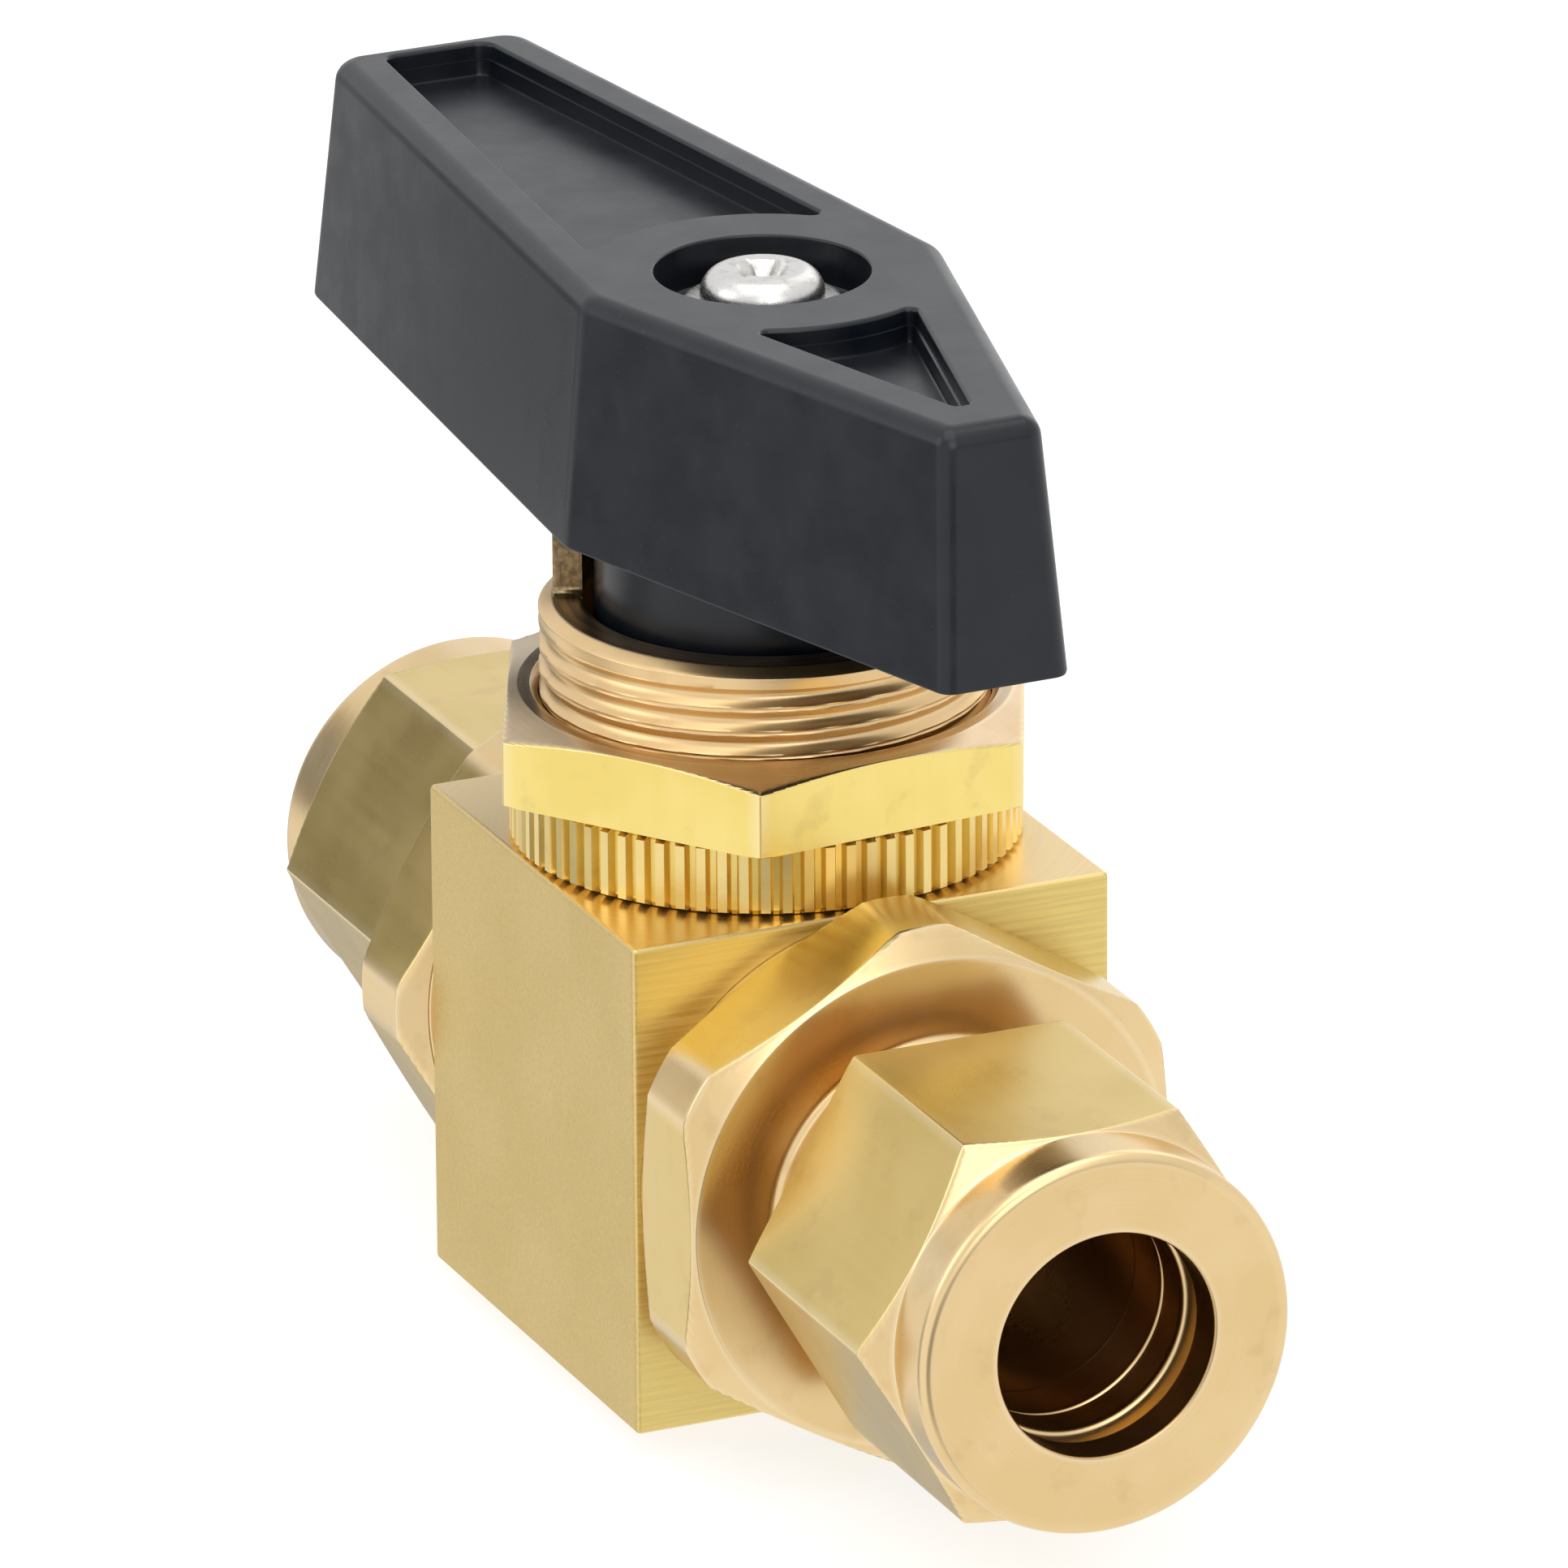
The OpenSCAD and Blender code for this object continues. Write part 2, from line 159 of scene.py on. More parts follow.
def rounded(corners, steps=5):
    """A closed outline from (x, y, fillet) corners, as (x, y, edge) with edge up to 1 on a fillet."""
    points = []
    for i, (x, y, fillet) in enumerate(corners):
        here = Vector((x, y))
        if fillet == 0:
            points.append((x, y, 0.0))
            continue
        back = Vector(corners[i - 1][:2]) - here
        ahead = Vector(corners[(i + 1) % len(corners)][:2]) - here
        room = min(back.length, ahead.length)
        back.normalize()
        ahead.normalize()
        half = back.angle(ahead) / 2
        trim = fillet / math.tan(half)
        centre = here + (back + ahead).normalized() * (fillet / math.sin(half))
        first = here + back * trim
        last = here + ahead * trim
        start = math.atan2(first.y - centre.y, first.x - centre.x)
        end = math.atan2(last.y - centre.y, last.x - centre.x)
        guard = min(trim + 0.25, room * 0.48)
        if guard > trim:
            points.append((*(here + back * guard), 0.0))
        worn = min(1.0, 0.15 / fillet)
        points += [(px, py, worn) for px, py in arc(centre, fillet, start, end, steps)]
        if guard > trim:
            points.append((*(here + ahead * guard), 0.0))
    return points


def circle_columns(count):
    """Directions round a plain turned piece, with nothing that limits the radius."""
    return [(TURN * k / count, 1e6, 0.0) for k in range(count)]


def hex_columns(af, turn, corner=0.22, flat_steps=22, corner_steps=4):
    """(angle, distance, edge) round a hexagon whose first flat faces an angle in degrees."""
    apothem = af / 2
    straight = (apothem - corner) * math.tan(math.pi / 6)
    centre_r = (apothem - corner) / math.cos(math.pi / 6)
    columns = []
    for k in range(6):
        facing = math.radians(turn + 60 * k)
        for i in range(flat_steps + 1):
            across = straight * (2 * i / flat_steps - 1)
            angle = facing + math.atan2(across, apothem)
            worn = max(0.0, 1 - (straight - abs(across)) / 0.5)
            columns.append((angle, math.hypot(across, apothem), worn))
        for i in range(1, corner_steps):
            lean = facing + math.radians(60 * i / corner_steps)
            mid = facing + math.pi / 6
            x = centre_r * math.cos(mid) + corner * math.cos(lean)
            y = centre_r * math.sin(mid) + corner * math.sin(lean)
            columns.append((math.atan2(y, x), math.hypot(x, y), 1.0))
    return columns


def soft_min(a, b, blend=0.12):
    """The smaller value, with the change from one to the other rounded off."""
    near = max(blend - abs(a - b), 0) / blend
    return min(a, b) - near * near * blend / 4


# ---- Meshes ----


def band(first, second, count):
    """Quads between two rings of points, given by where each ring starts."""
    quads = []
    for j in range(count):
        j2 = (j + 1) % count
        quads.append((first + j, first + j2, second + j2, second + j))
    return quads


def closed_grid(rows, columns):
    """Quads of a grid that closes on itself both ways."""
    faces = []
    for i in range(rows):
        faces += band(i * columns, (i + 1) % rows * columns, columns)
    return faces


def loft(rings):
    """A solid through rings that have the same number of points, with flat ends."""
    count = len(rings[0])
    points = [p for ring in rings for p in ring]
    faces = [tuple(range(count)), tuple(range(len(points) - count, len(points)))]
    for i in range(len(rings) - 1):
        faces += band(i * count, (i + 1) * count, count)
    return points, faces, {}


def fine_rows(profile, af):
    """Extra rows where a sloping stretch can cross the flats of a hexagon, so the crossing is smooth."""
    margin = 0.4
    row_step = 0.05
    least_slope = 0.02
    inside = af / 2 - margin
    outside = af / math.sqrt(3) + margin
    rows = []
    for i, (x, r, edge) in enumerate(profile):
        x2, r2, edge2 = profile[(i + 1) % len(profile)]
        slopes = min(abs(r2 - r), abs(x2 - x)) > least_slope
        crosses = max(r, r2) > inside and min(r, r2) < outside
        steps = max(1, round(abs(r2 - r) / row_step)) if slopes and crosses else 1
        for k in range(steps):
            t = k / steps
            rows.append((x + (x2 - x) * t, r + (r2 - r) * t, edge + (edge2 - edge) * t))
    return rows


def turned(profile, columns, place):
    """A closed turned shape from (axial, radius, edge) rows, cut back to the limit of each column."""
    points, edge, flat = [], [], []
    for axial, radius, row_edge in profile:
        for angle, limit, column_edge in columns:
            r = soft_min(radius, limit)
            points.append(place(axial, r * math.cos(angle), r * math.sin(angle)))
            on_flat = 1.0 if radius > limit else 0.0
            crossing = max(0.0, 1 - abs(radius - limit) / 0.2)
            edge.append(max(row_edge * (1 - on_flat), column_edge * on_flat, crossing))
            flat.append(on_flat)
    return points, closed_grid(len(profile), len(columns)), {"edge": edge, "flat": flat}


def along_x(side):
    """Places a turned piece on the flow axis, on the side that the sign gives."""
    return lambda axial, y, z: (side * axial, y, flow_z + z)


def up_z(axial, x, y):
    """Places a turned piece on the stem axis."""
    return x, y, axial


def build(name, shapes):
    """One mesh object from (points, faces, attributes) shapes in millimetres.

    Attributes hold one value for each point, so they come only with a piece of one shape.
    """
    points, faces, values = [], [], {}
    for shape_points, shape_faces, attributes in shapes:
        first = len(points)
        points += shape_points
        faces += [tuple(first + i for i in face) for face in shape_faces]
        values.update(attributes)
    mesh = bpy.data.meshes.new(name)
    mesh.from_pydata([Vector(p) * MM for p in points], [], faces)
    for key, numbers in values.items():
        layer = mesh.attributes.new(key, "FLOAT", "POINT")
        layer.data.foreach_set("value", numbers)
    work = bmesh.new()
    work.from_mesh(mesh)
    bmesh.ops.recalc_face_normals(work, faces=work.faces)
    work.to_mesh(mesh)
    work.free()
    piece = bpy.data.objects.new(name, mesh)
    bpy.context.scene.collection.objects.link(piece)
    return piece


def bake_modifiers(piece):
    """Replaces a piece's mesh with the result of its modifiers, without faces of no area."""
    shortest_edge = 0.0005 * MM
    graph = bpy.context.evaluated_depsgraph_get()
    result = bpy.data.meshes.new_from_object(piece.evaluated_get(graph))
    work = bmesh.new()
    work.from_mesh(result)
    bmesh.ops.dissolve_degenerate(work, dist=shortest_edge, edges=work.edges)
    work.to_mesh(result)
    work.free()
    piece.modifiers.clear()
    piece.data = result


def combine(piece, other, operation):
    """Adds or cuts another solid, which is then gone."""
    step = piece.modifiers.new(operation.lower(), "BOOLEAN")
    step.operation = operation
    step.object = other
    step.solver = "EXACT"
    bpy.context.view_layer.update()
    bake_modifiers(piece)
    bpy.data.objects.remove(other)


def dress(piece, material, body, node, sharp=32):
    """Shades a piece, gives it its material and hangs it on the body it moves with."""
    piece.data.materials.clear()
    piece.data.materials.append(material)
    piece.data.shade_smooth()
    piece.data.set_sharp_from_angle(angle=math.radians(sharp))
    normals = piece.modifiers.new("weighted_normals", "WEIGHTED_NORMAL")
    normals.keep_sharp = True
    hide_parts(node)
    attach(piece, body)
    return piece


# ---- Material nodes ----

FLECK_BROWN = (0.34, 0.22, 0.10)
SMEAR_BROWN = (0.52, 0.34, 0.15)
EDGE_BRIGHT = (0.96, 0.84, 0.60)
INSIDE_BROWN = (0.44, 0.26, 0.09)
# Mottled dark brown on the neck's rim top and stop lugs: a painted reflection of the black handle and the
# dark surround.
PAINTED_DARK_REFLECTION_BROWN = (0.15, 0.11, 0.07)
SPECK_BROWN = (0.30, 0.21, 0.10)
PLASTIC_DEEP = (0.0032, 0.0050, 0.0080)
PLASTIC_LIGHT = (0.0060, 0.0078, 0.0112)
DUST_GREY = (0.16, 0.15, 0.14)
SCUFF_GREY = (0.09, 0.09, 0.10)
SEAL_DEEP = (0.80, 0.78, 0.72)
SEAL_LIGHT = (0.90, 0.89, 0.85)


def add_node(tree, kind, settings=None, inputs=None):
    """A shader node with its settings, constants and links."""
    made = tree.nodes.new(kind)
    for key, value in (settings or {}).items():
        setattr(made, key, value)
    for key, value in (inputs or {}).items():
        if isinstance(value, bpy.types.NodeSocket):
            tree.links.new(value, made.inputs[key])
        else:
            made.inputs[key].default_value = value
    return made


def math_node(tree, operation, a, b=0.0):
    """The result of one arithmetic step."""
    return add_node(tree, "ShaderNodeMath", {"operation": operation}, {0: a, 1: b}).outputs[0]


def times(tree, a, b):
    """The product of two values."""
    return math_node(tree, "MULTIPLY", a, b)


def plus(tree, a, b):
    """The sum of two values."""
    return math_node(tree, "ADD", a, b)


def ramp(tree, value, low, high, out_low=0.0, out_high=1.0):
    """A smooth change from one output to another as a value goes from low to high."""
    limits = {"Value": value, "From Min": low, "From Max": high, "To Min": out_low, "To Max": out_high}
    return add_node(tree, "ShaderNodeMapRange", {"interpolation_type": "SMOOTHSTEP"}, limits).outputs[0]


def mix_value(tree, amount, a, b):
    """A mix of two values: the first at 0, the second at 1."""
    made = add_node(tree, "ShaderNodeMix", {"data_type": "FLOAT"}, {0: amount, 2: a, 3: b})
    return made.outputs[0]


def mix_colour(tree, amount, a, b, blend="MIX"):
    """A mix of two colours, each a node's output or three numbers."""
    made = add_node(tree, "ShaderNodeMix", {"data_type": "RGBA", "blend_type": blend}, {0: amount})
    for index, colour in ((6, a), (7, b)):
        if isinstance(colour, bpy.types.NodeSocket):
            tree.links.new(colour, made.inputs[index])
        else:
            made.inputs[index].default_value = (*colour, 1.0)
    return made.outputs[2]


def tinted(tree, colour, mask, share, tint):
    """A colour with a share of a tint mixed in where a mask shows."""
    return mix_colour(tree, times(tree, mask, share), colour, tint)


def noise(tree, vector, scale, detail=2.0, rough=0.5):
    """Soft noise between 0 and 1, finer as the scale grows."""
    inputs = {"Vector": vector, "Scale": scale, "Detail": detail, "Roughness": rough}
    return add_node(tree, "ShaderNodeTexNoise", None, inputs).outputs["Fac"]


def vector_of(tree, x, y, z):
    """Three values as one vector."""
    return add_node(tree, "ShaderNodeCombineXYZ", None, {0: x, 1: y, 2: z}).outputs[0]


def split(tree, vector):
    """The three values of a vector."""
    return add_node(tree, "ShaderNodeSeparateXYZ", None, {0: vector}).outputs


def stretched(tree, place, rotation, scale):
    """The place turned and scaled, for marks that run longer one way."""
    inputs = {"Vector": place, "Rotation": rotation, "Scale": scale}
    return add_node(tree, "ShaderNodeMapping", None, inputs).outputs[0]


def attribute(tree, name):
    """A value stored with the points of the mesh, or 0 where the mesh has none."""
    return add_node(tree, "ShaderNodeAttribute", {"attribute_name": name}).outputs["Fac"]


def start_material(name):
    """A material with its shader, and the place on the part in millimetres from the block's centre."""
    material = bpy.data.materials.new(name)
    material.use_nodes = True
    tree = material.node_tree
    shader = tree.nodes["Principled BSDF"]
    coords = add_node(tree, "ShaderNodeTexCoord").outputs["Object"]
    scale = 1 / MM
    inputs = {"Vector": coords, "Location": (0, 0, -flow_z), "Scale": (scale, scale, scale)}
    place = add_node(tree, "ShaderNodeMapping", None, inputs).outputs[0]
    return material, tree, shader, place


def finish_surface(tree, shader, colour, roughness, height, depth):
    """Links colour and roughness, and turns a height in millimetres into bump."""
    tree.links.new(colour, shader.inputs["Base Color"])
    tree.links.new(roughness, shader.inputs["Roughness"])
    bump = add_node(tree, "ShaderNodeBump", None, {"Height": height, "Strength": 1.0, "Distance": depth * MM})
    tree.links.new(bump.outputs[0], shader.inputs["Normal"])


def cylinder_places(tree, place, axis):
    """Distance along an axis, distance from it, and angle round it."""
    x, y, z = split(tree, place)
    along, u, v = (x, y, z) if axis == "X" else (z, x, y)
    from_axis = math_node(tree, "SQRT", plus(tree, times(tree, u, u), times(tree, v, v)))
    return along, from_axis, math_node(tree, "ARCTAN2", v, u)


def worn_brass(tree, place, colour):
    """A brass colour with small brown flecks, faint smears and brighter worn edges."""
    fleck = ramp(tree, noise(tree, place, 2.3, 4.0, 0.75), 0.68, 0.76)
    colour = tinted(tree, colour, fleck, 0.2, FLECK_BROWN)
    smear = ramp(tree, noise(tree, place, 0.35, 3.0, 0.6), 0.56, 0.72)
    colour = tinted(tree, colour, smear, 0.22, SMEAR_BROWN)
    return tinted(tree, colour, attribute(tree, "edge"), 0.3, EDGE_BRIGHT)


def turned_brass(name, axis, turned_pair, rough, drawn_pair=None, dark_inside=0.0, painted_dark_over=None):
    """Brass with lathe marks round an axis, and on a hexagon's drawn flats faint lines along it.

    Pairs are (light, deep) colours. Nearer the axis than dark_inside the metal is brown. Further along it
    than painted_dark_over a mottled dark brown is painted on: a painted reflection of the black handle and
    the dark surround.
    """
    material, tree, shader, place = start_material(name)
    along, from_axis, angle = cylinder_places(tree, place, axis)
    marks = noise(tree, vector_of(tree, along, from_axis, times(tree, angle, 0.06)), 13.0)
    tone = noise(tree, place, 0.16)
    light, deep = turned_pair
    if drawn_pair:
        flat = attribute(tree, "flat")
        drawn_place = vector_of(tree, times(tree, along, 0.05), times(tree, angle, 12.0), 0.0)
        marks = mix_value(tree, flat, marks, noise(tree, drawn_place, 1.3))
        light = mix_colour(tree, flat, light, drawn_pair[0])
        deep = mix_colour(tree, flat, deep, drawn_pair[1])
    shade = mix_value(tree, 0.2, tone, marks)
    colour = mix_colour(tree, ramp(tree, shade, 0.36, 0.64), deep, light)
    colour = worn_brass(tree, place, colour)
    if dark_inside:
        inside = ramp(tree, from_axis, dark_inside - 0.06, dark_inside + 0.06, 0.8, 0.0)
        colour = mix_colour(tree, inside, colour, INSIDE_BROWN)
    # Painted dark reflection: past painted_dark_over, on the neck's rim top and stop lugs, mottled dark brown
    # stands in for the black handle and dark surround they reflect.
    if painted_dark_over:
        patches = noise(tree, vector_of(tree, along, from_axis, angle), 2.6, 3.0, 0.7)
        patchy_share = ramp(tree, patches, 0.3, 0.7, 0.55, 0.95)
        over = ramp(tree, along, painted_dark_over - 0.08, painted_dark_over - 0.02)
        colour = tinted(tree, colour, over, patchy_share, PAINTED_DARK_REFLECTION_BROWN)
    roughness = ramp(tree, mix_value(tree, 0.75, marks, tone), 0.3, 0.7, rough - 0.02, rough + 0.04)
    height = mix_value(tree, 0.25, marks, noise(tree, place, 8.0))
    shader.inputs["Metallic"].default_value = 1.0
    finish_surface(tree, shader, colour, roughness, height, 0.0008)
    return material


def block_marks(tree, place, port, top):
    """Cutter lines on the port faces, facing rings on top and fine grain on the rest."""
    across = split(tree, place)[1]
    height, from_axis, angle = cylinder_places(tree, place, "Z")
    cutter_step = 0.55
    wobble = times(tree, noise(tree, place, 0.2), 2.5)
    cutter = math_node(tree, "SINE", plus(tree, times(tree, height, TURN / cutter_step), wobble))
    lines_place = vector_of(tree, 0.0, times(tree, across, 0.03), height)
    lines = plus(tree, times(tree, cutter, 0.07), noise(tree, lines_place, 5.0, 2.0, 0.6))
    rings_place = vector_of(tree, from_axis, 0.0, times(tree, angle, 0.3))
    rings = plus(tree, times(tree, noise(tree, rings_place, 4.0, 3.0, 0.6), 0.4), 0.3)
    side = math_node(tree, "SUBTRACT", 1.0, math_node(tree, "MAXIMUM", port, top))
    grain = noise(tree, place, 7.0, 3.0, 0.6)
    rest = plus(tree, times(tree, top, rings), times(tree, side, grain))
    return plus(tree, times(tree, port, lines), rest)


def block_brass(name, light, deep, yellow, faced):
    """Milled block: its sides light to deep, its port faces yellow, and its faced top smoother."""
    material, tree, shader, place = start_material(name)
    facing = split(tree, add_node(tree, "ShaderNodeTexCoord").outputs["Normal"])
    port = ramp(tree, math_node(tree, "ABSOLUTE", facing[0]), 0.6, 0.9)
    top = ramp(tree, math_node(tree, "ABSOLUTE", facing[2]), 0.6, 0.9)
    marks = block_marks(tree, place, port, top)
    colour = mix_colour(tree, ramp(tree, noise(tree, place, 0.12), 0.35, 0.65), deep, light)
    colour = mix_colour(tree, port, colour, yellow)
    colour = mix_colour(tree, top, colour, faced)
    shade = ramp(tree, marks, 0.3, 0.7, 0.88, 1.05)
    grey = add_node(tree, "ShaderNodeCombineColor", None, {0: shade, 1: shade, 2: shade}).outputs[0]
    colour = mix_colour(tree, 1.0, colour, grey, "MULTIPLY")
    speck = ramp(tree, noise(tree, place, 3.1, 4.0, 0.7), 0.68, 0.74)
    colour = tinted(tree, colour, speck, 0.25, SPECK_BROWN)
    rough = ramp(tree, marks, 0.25, 0.75, 0.4, 0.52)
    roughness = math_node(tree, "SUBTRACT", rough, times(tree, top, 0.16))
    shader.inputs["Metallic"].default_value = 1.0
    finish_surface(tree, shader, colour, roughness, marks, 0.005)
    return material


def moulded_plastic(name):
    """Black moulded plastic with a faint grain, dust and light scuffs."""
    material, tree, shader, place = start_material(name)
    grain = noise(tree, place, 5.0, 3.0, 0.6)
    cloud = noise(tree, place, 0.3, 3.0, 0.6)
    dust = ramp(tree, noise(tree, place, 8.0, 4.0, 0.8), 0.67, 0.74)
    scuff_place = stretched(tree, place, (0.2, 0.3, 0.7), (0.25, 3.0, 1.5))
    scuff = ramp(tree, noise(tree, scuff_place, 1.6, 4.0, 0.7), 0.66, 0.74)
    colour = mix_colour(tree, ramp(tree, cloud, 0.3, 0.7), PLASTIC_DEEP, PLASTIC_LIGHT)
    colour = tinted(tree, colour, dust, 0.12, DUST_GREY)
    colour = tinted(tree, colour, scuff, 0.2, SCUFF_GREY)
    roughness = plus(tree, ramp(tree, cloud, 0.3, 0.7, 0.26, 0.34), times(tree, scuff, 0.08))
    shader.inputs["Specular IOR Level"].default_value = 0.4
    finish_surface(tree, shader, colour, roughness, grain, 0.003)
    return material


def bright_steel(name, light, deep, rough):
    """Plated or polished steel with fine scratches and small stains."""
    material, tree, shader, place = start_material(name)
    scratch_place = stretched(tree, place, (0.1, 0.2, 0.5), (0.6, 9.0, 4.0))
    scratch = noise(tree, scratch_place, 2.0, 4.0, 0.7)
    patchy_share = ramp(tree, noise(tree, place, 1.3, 4.0, 0.7), 0.5, 0.72)
    colour = tinted(tree, light, patchy_share, 0.7, deep)
    roughness = ramp(tree, scratch, 0.3, 0.7, rough - 0.06, rough + 0.1)
    shader.inputs["Metallic"].default_value = 1.0
    finish_surface(tree, shader, colour, roughness, scratch, 0.006)
    return material


def seal_plastic(name):
    """Smooth white seal plastic with faint clouding."""
    material, tree, shader, place = start_material(name)
    cloud = noise(tree, place, 0.5, 3.0)
    colour = mix_colour(tree, ramp(tree, cloud, 0.3, 0.7), SEAL_DEEP, SEAL_LIGHT)
    roughness = ramp(tree, cloud, 0.3, 0.7, 0.34, 0.46)
    finish_surface(tree, shader, colour, roughness, noise(tree, place, 6.0), 0.004)
    return material


# ---- Body and panel hardware ----


def revolved(name, profile, place):
    """A plain turned solid from (axial, radius) corners that start and end on the axis."""
    count = 96
    angles = [TURN * k / count for k in range(count)]
    rings = [[place(axial, radius * math.cos(a), radius * math.sin(a)) for a in angles]
             for axial, radius in profile[1:-1]]
    return build(name, [loft(rings)])


def body_block():
    """Square block with broken edges, its flow bore, and the foot of the stem bore."""
    cube = bmesh.new()
    bmesh.ops.create_cube(cube, size=2 * block_half)
    bmesh.ops.translate(cube, vec=(0, 0, block_half), verts=cube.verts)
    bmesh.ops.bevel(cube, geom=cube.edges[:], offset=block_break, segments=3, profile=0.5, affect="EDGES")
    points = [tuple(v.co) for v in cube.verts]
    faces = [tuple(v.index for v in f.verts) for f in cube.faces]
    cube.free()
    block = build("body_block", [(points, faces, {})])

    spigot_r = 10.3
    cavity_r = 8.6
    seal_x = 10.0
    past = block_half + 1
    flow_bore = [(-past, 0), (-past, spigot_r), (-seal_x, spigot_r), (-seal_x, cavity_r),
                 (seal_x, cavity_r), (seal_x, spigot_r), (past, spigot_r), (past, 0)]
    combine(block, revolved("cut", flow_bore, along_x(1)), "DIFFERENCE")

    shoulder_r = 5.8
    chamber_top = 25.8
    packing_bottom = 27.6
    shank_r = stem_r + drive_gap
    past = block_top + 1
    stem_bore = [(flow_z, 0), (flow_z, shoulder_r), (chamber_top, shoulder_r), (chamber_top, shank_r),
                 (packing_bottom, shank_r), (packing_bottom, packing_r), (past, packing_r), (past, 0)]
    combine(block, revolved("cut", stem_bore, up_z), "DIFFERENCE")
    return block


def thread_radius(height, angle):
    """Radius of the neck's right-hand thread: narrow flat crests and wide hollow valleys."""
    start = 0.13
    crest = 0.09
    crest_drop = 0.05
    phase = (height / neck_pitch - angle / TURN - start) % 1.0
    from_crest = min(phase, 1 - phase)
    if from_crest < crest:
        return neck_r - crest_drop * math.cos(math.pi * from_crest / (2 * crest))
    return neck_r - (neck_r - neck_root_r) * math.sin(math.pi / 2 * (from_crest - crest) / (0.5 - crest))


def threaded_neck():
    """Neck with its helical thread, plain band and chamfer at the rim, mouth and packing bore."""
    count = 288
    angles = [TURN * k / count for k in range(count)]
    foot = block_top - 0.4
    hidden_top = nut_high.z - 0.6
    thread_end = neck_top - 1.2
    band_top = neck_top - 0.5
    packing_nut_floor = 35.0
    coarse = 0.2
    fine = 0.05
    heights = [block_top + coarse * k for k in range(int((hidden_top - block_top) / coarse) + 1)]
    heights += [hidden_top + fine * k for k in range(1, int((thread_end - hidden_top) / fine) + 1)]
    points = [(neck_root_r * math.cos(a), neck_root_r * math.sin(a), foot) for a in angles]
    for height in heights:
        radii = [thread_radius(height, a) for a in angles]
        points += [(r * math.cos(a), r * math.sin(a), height) for r, a in zip(radii, angles)]
    corners = [(neck_top - 1.15, neck_r - 0.08, 0), (band_top, neck_r, 0.08), (neck_top, rim_r, 0.1),
               (neck_top, mouth_r, 0.15), (mouth_floor, mouth_r, 0.1), (mouth_floor, packing_nut_r, 0.1),
               (packing_nut_floor, packing_nut_r, 0), (packing_nut_floor, packing_r, 0),
               (foot, packing_r, 0), (foot, neck_root_r, 0)]
    for height, r, _ in rounded(corners, 4)[:-1]:
        points += [(r * math.cos(a), r * math.sin(a), height) for a in angles]
    return points, closed_grid(len(points) // count, count), {}


def lug(start):
    """A stop lug standing on the rim, its end faces flared into the rim."""
    flare = 0.5
    edge = 0.25
    draft = 0.03
    largest_cut = 0.2
    mid_r = (rim_r + mouth_r) / 2
    length = math.radians(lug_sweep) * mid_r
    end = []
    for k in range(6):
        a = math.pi / 2 * k / 5
        end.append((-flare * (1 - math.sin(a)), neck_top + flare * (1 - math.cos(a))))
    for k in range(5):
        a = math.pi / 2 * k / 4
        end.append((draft + edge * (1 - math.cos(a)), lug_top - edge + edge * math.sin(a)))
    middle = [(length * k / 16, lug_top) for k in range(1, 16)]
    stations = end + middle + [(length - s, h) for s, h in reversed(end)]
    rings = []
    for s, height in stations:
        a = math.radians(start) + s / mid_r
        cut = min(largest_cut, max(height - neck_top, 0.1) * 0.4)
        section = [(rim_r, neck_top - 1), (rim_r, height - cut), (rim_r - cut, height),
                   (mouth_r + cut, height), (mouth_r, height - cut), (mouth_r, neck_top - 1)]
        rings.append([(r * math.cos(a), r * math.sin(a), h) for r, h in section])
    return loft(rings)


def body_neck():
    """The neck above the block, with its two stop lugs."""
    return build("body_neck", [threaded_neck()] + [lug(start) for start in lug_starts])


def knurled_ring():
    """Ring with straight teeth all round, broken at both faces."""
    low = ring_low.z
    high = ring_high.z
    outer = ring_high.x
    inner = neck_r + thread_gap
    tooth = 0.45
    chamfer = 0.3
    face_r = outer - 0.65
    beyond = outer + 0.2
    columns = []
    for k in range(ring_teeth):
        for share, drop in ((0.14, tooth), (0.28, 0.0), (0.72, 0.0), (0.86, tooth)):
            columns.append((TURN * (k + share - 0.5) / ring_teeth, outer - drop, 0.6 if drop == 0 else 0.0))
    corners = [(low, inner, 0.1), (low, face_r, 0), (low + chamfer, beyond, 0), (high - chamfer, beyond, 0),
               (high, face_r, 0), (high, inner, 0.1)]
    points, edge = [], []
    rows = rounded(corners, 3)
    for axial, radius, _ in rows:
        for angle, limit, worn in columns:
            r = min(radius, limit)
            points.append(up_z(axial, r * math.cos(angle), r * math.sin(angle)))
            edge.append(worn)
    return build("knurled_ring_piece", [(points, closed_grid(len(rows), len(columns)), {"edge": edge})])


def panel_nut():
    """Thin hexagon nut with its top corners turned away and a countersunk thread."""
    low = nut_low.z
    high = nut_high.z
    inner = neck_r + thread_gap
    countersink = 0.45
    beyond = panel_nut_af / math.sqrt(3) + 0.6
    face_r = panel_nut_af / 2 - 0.6
    slope = math.tan(math.radians(15))
    corners = [(low, inner, 0.1), (low, beyond - 0.75, 0), (low + 0.35, beyond, 0),
               (high - (beyond - face_r) * slope, beyond, 0), (high, face_r, 0.3),
               (high, inner + countersink, 0.1), (high - countersink, inner, 0.1)]
    profile = fine_rows(rounded(corners, 4), panel_nut_af)
    return build("panel_nut_piece", [turned(profile, hex_columns(panel_nut_af, panel_nut_turn), up_z)])


# ---- End fittings ----


